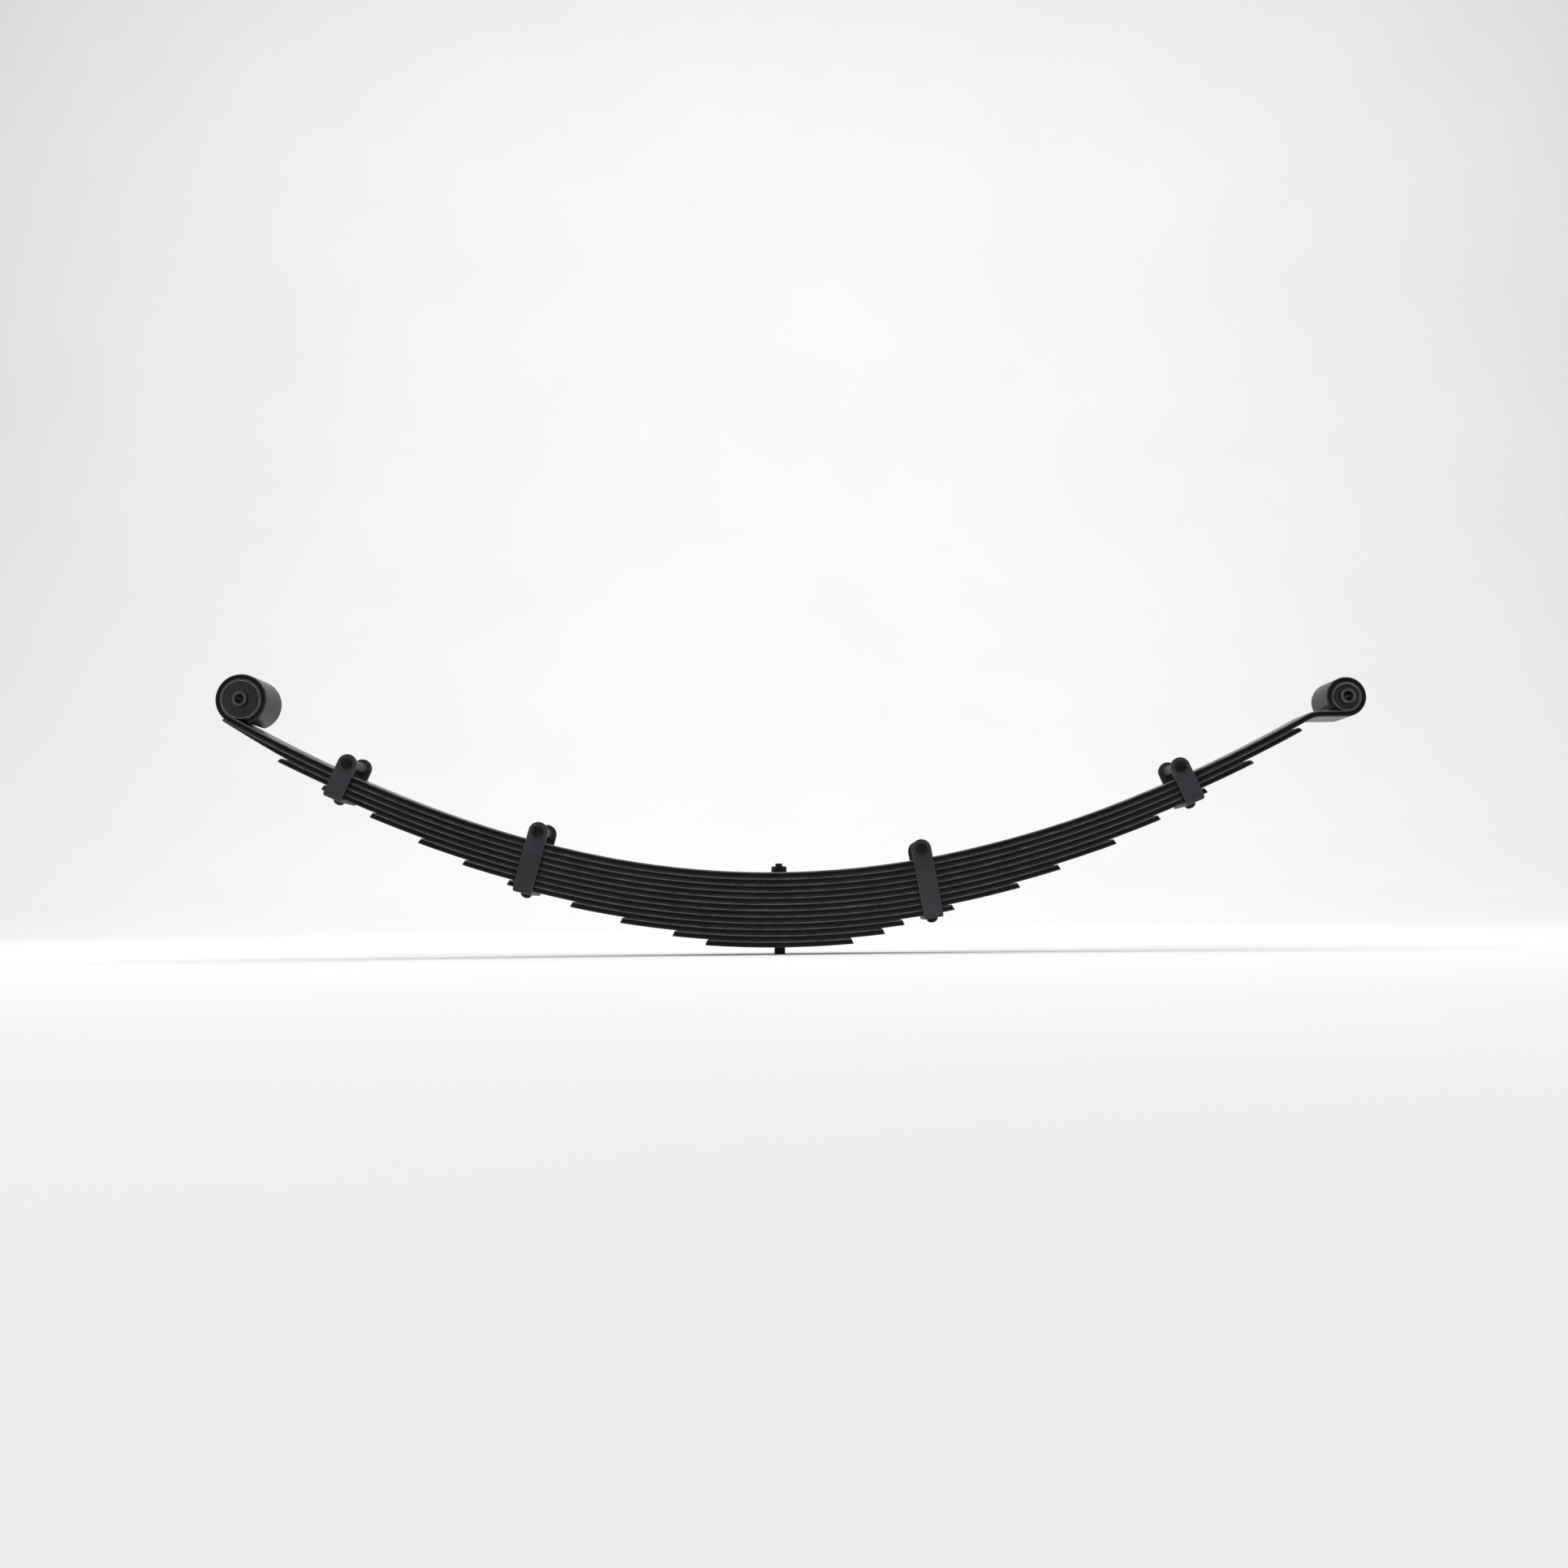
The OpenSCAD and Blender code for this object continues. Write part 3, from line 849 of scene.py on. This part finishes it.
def bush_rubber(name, centre, eye_r):
    """Rubber with a dished face, a lip round the sleeve and a flash line near the shell."""
    half = LEAF_W / 2 - RUBBER_INSET
    inner = SLEEVE_R + SLEEVE_FIT
    outer = eye_r - SHELL_WALL - 0.00002
    span = outer - inner
    face = [(inner, half - 0.0010), (inner + 0.0004, half + 0.0004), (inner + 0.0011, half + 0.0007)]
    for i in range(1, 12):
        part = i / 12
        dish = RUBBER_DISH * math.sin(math.pi * part) ** 0.8 * min(1, span / 0.010)
        face.append((inner + 0.0011 + (span - 0.0022) * part, half + 0.0005 * (1 - part) - dish))
    face += [(outer - 0.0009, half + 0.0001), (outer - 0.0004, half + 0.0004), (outer, half), (outer, 0.0)]
    part = moved(lathe(mirrored(face), 96, closed=True), at_eye(centre))
    return joined(f"{name}_bush_rubber_detail", [part], RUBBER, 50)


def bush_sleeve(name, centre, out):
    """A steel tube with chamfered ends whose faces carry radial serrations."""
    half = LEAF_W / 2 + out
    outline = [
        (SLEEVE_BORE_R, half - 0.0008), (SLEEVE_BORE_R + 0.0007, half - 0.0001),
        (SLEEVE_BORE_R + 0.0011, half), (SLEEVE_R - 0.0010, half), (SLEEVE_R - 0.0006, half - 0.0002),
        (SLEEVE_R, half - 0.0009), (SLEEVE_R, 0.0),
    ]

    def serrated(angle, r, z):
        on_face = abs(z) >= half - 0.00025 and SLEEVE_BORE_R + 0.0005 < r < SLEEVE_R - 0.0004
        tooth = abs((angle / (2 * math.pi) * SLEEVE_TEETH) % 1 - 0.5) * 2
        return r, z - math.copysign(SLEEVE_TOOTH_DEPTH * tooth, z) if on_face else z

    part = moved(lathe(mirrored(outline), 240, serrated, closed=True), at_eye(centre))
    return joined(f"{name}_bush_sleeve_detail", [part], SLEEVE_STEEL, 40)


for eye_name, eye_centre, eye_radius, sleeve_out in (
    ("front", FRONT_EYE, FRONT_EYE_R, FRONT_SLEEVE_OUT),
    ("rear", REAR_EYE, REAR_EYE_R, REAR_SLEEVE_OUT),
):
    keep(bush_shell(eye_name, eye_centre, eye_radius), f"{eye_name}_bush_shell")
    keep(bush_rubber(eye_name, eye_centre, eye_radius), f"{eye_name}_bush_rubber")
    keep(
        bush_sleeve(eye_name, eye_centre, sleeve_out), f"{eye_name}_bush_sleeve",
        f"{eye_name}_sleeve",
    )

# ---------------------------------------------------------------- floor, light and camera


def studio():
    """A pale sweep: floor, a large cove and a back wall in one sheet."""
    floor_z = cad_box[0].z
    outline = [(-9.0, 0.0), (3.0, 0.0)]
    for i in range(1, 13):
        angle = math.radians(90 * i / 12)
        outline.append((3.0 + 3.0 * math.sin(angle), 3.0 - 3.0 * math.cos(angle)))
    outline.append((6.0, 9.0))
    points = [(x, y, floor_z + z) for y, z in outline for x in (-12.0, 12.0)]
    faces = [[2 * i, 2 * i + 1, 2 * i + 3, 2 * i + 2] for i in range(len(outline) - 1)]
    paint = Paint("pale_sweep")
    tone = paint.noise(1.5, 2)
    paint.set(
        Base_Color=paint.ramp(tone, (0.3, (0.86, 0.86, 0.86)), (0.7, (0.88, 0.88, 0.88))),
        Roughness=0.9,
        Specular_IOR_Level=0.1,
    )
    sweep = add_mesh("pale_sweep", points, faces, paint.material, 60)


def area_light(name, place, target, size, watts):
    """A rectangular lamp at a place, aimed at a target."""
    lamp = bpy.data.lights.new(name, "AREA")
    lamp.shape = "RECTANGLE"
    lamp.size, lamp.size_y = size
    lamp.energy = watts
    light = bpy.data.objects.new(name, lamp)
    light.location = place
    light.rotation_euler = (Vector(target) - Vector(place)).to_track_quat("-Z", "Y").to_euler()
    bpy.context.scene.collection.objects.link(light)


def lights():
    """Soft light from above and in front, a wash on the back wall, and pale air all round."""
    area_light("overhead", (0, 0.2, 3.0), (0, 0.3, 0), (4.5, 2.0), 52)
    area_light("front_wash", (-0.6, -2.6, 3.0), (0, 0, 0.1), (3.0, 0.8), 30)
    area_light("back_wash", (0, 2.2, 4.5), (0, 5.4, 1.2), (8.0, 1.5), 130)
    world = bpy.data.worlds.new("studio_air")
    world.use_nodes = True
    background = world.node_tree.nodes["Background"]
    background.inputs["Color"].default_value = (1, 1, 1, 1)
    background.inputs["Strength"].default_value = 0.52
    bpy.context.scene.world = world
    bpy.context.scene.view_settings.view_transform = "Standard"


def camera():
    """Low in front of the pack, looking slightly up and nearly square to it."""
    lens = bpy.data.cameras.new("camera")
    lens.sensor_width = 36
    lens.lens = 40.03
    lens.clip_end = 60
    eye = bpy.data.objects.new("camera", lens)
    place = Vector((0.035, -2.260, 0.047))
    yaw = math.radians(0.69)
    pitch = math.radians(4.15)
    roll = math.radians(-0.63)
    turn = Matrix.Rotation(yaw, 4, "Z") @ Matrix.Rotation(math.radians(90) + pitch, 4, "X")
    eye.matrix_world = Matrix.Translation(place) @ turn @ Matrix.Rotation(roll, 4, "Z")
    bpy.context.scene.collection.objects.link(eye)
    bpy.context.scene.camera = eye


studio()
lights()
camera()
